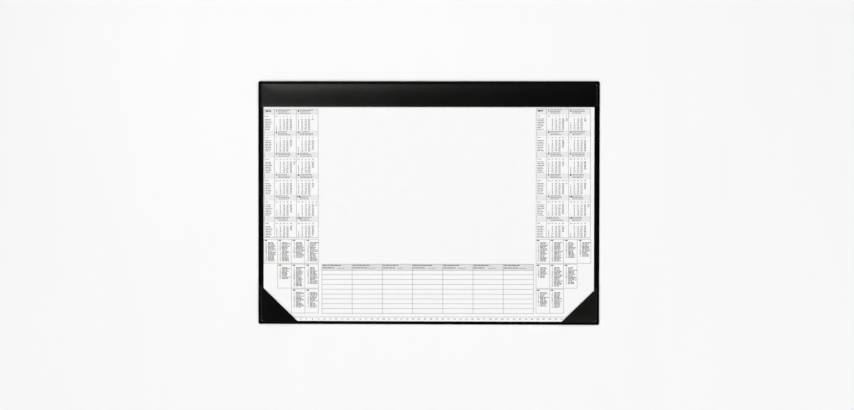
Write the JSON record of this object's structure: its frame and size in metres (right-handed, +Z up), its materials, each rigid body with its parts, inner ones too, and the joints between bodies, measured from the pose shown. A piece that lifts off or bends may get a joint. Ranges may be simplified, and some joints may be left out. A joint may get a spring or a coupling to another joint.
{
  "type": "desk pad calendar",
  "caption": "Flat welded desk mat with a head band and corner pockets that hold a replaceable pad of tear-off calendar sheets for writing on.",
  "frame": {"origin": "on the desk, under the middle of the mat", "axes": "+X along the long side to the user's right, +Y from the foot of the mat to its head band, +Z up from the desk"},
  "size_m": [0.575, 0.41, 0.0062],
  "materials": {
    "black_foil": "satin",
    "grey_board": "matte",
    "padding_glue": "satin",
    "paper": "matte",
    "printing_ink": "matte"
  },
  "bodies": {
    "mat": {"back_foil": "black_foil", "core_board": "grey_board", "front_foil": "black_foil", "head_band": "black_foil", "left_corner_pocket": "black_foil", "right_corner_pocket": "black_foil"},
    "pad": {"backing_board": "grey_board", "glue_binding": "padding_glue", "top_sheet_head": "paper", "sheet_02": "paper", "sheet_03": "paper", "sheet_04": "paper", "sheet_05": "paper", "sheet_06": "paper", "sheet_07": "paper", "sheet_08": "paper", "sheet_09": "paper", "sheet_10": "paper", "sheet_11": "paper", "sheet_12": "paper", "sheet_13": "paper", "sheet_14": "paper", "sheet_15": "paper", "sheet_16": "paper", "sheet_17": "paper", "sheet_18": "paper", "sheet_19": "paper", "sheet_20": "paper", "sheet_21": "paper", "sheet_22": "paper", "sheet_23": "paper", "sheet_24": "paper", "sheet_25": "paper"},
    "top_sheet": {"top_sheet_leaf": "paper"}
  },
  "joints": [
    {"name": "pad_shift", "type": "slide", "parent": "mat", "child": "pad", "axis": [0, 1, 0], "range_m": [0, 0.0075]},
    {"name": "top_sheet_lift", "type": "hinge", "parent": "pad", "child": "top_sheet", "pos_m": [0, 0.1515, 0.0055], "axis": [-1, 0, 0], "range_deg": [0, 165], "deforming": ["top_sheet_leaf"]}
  ]
}
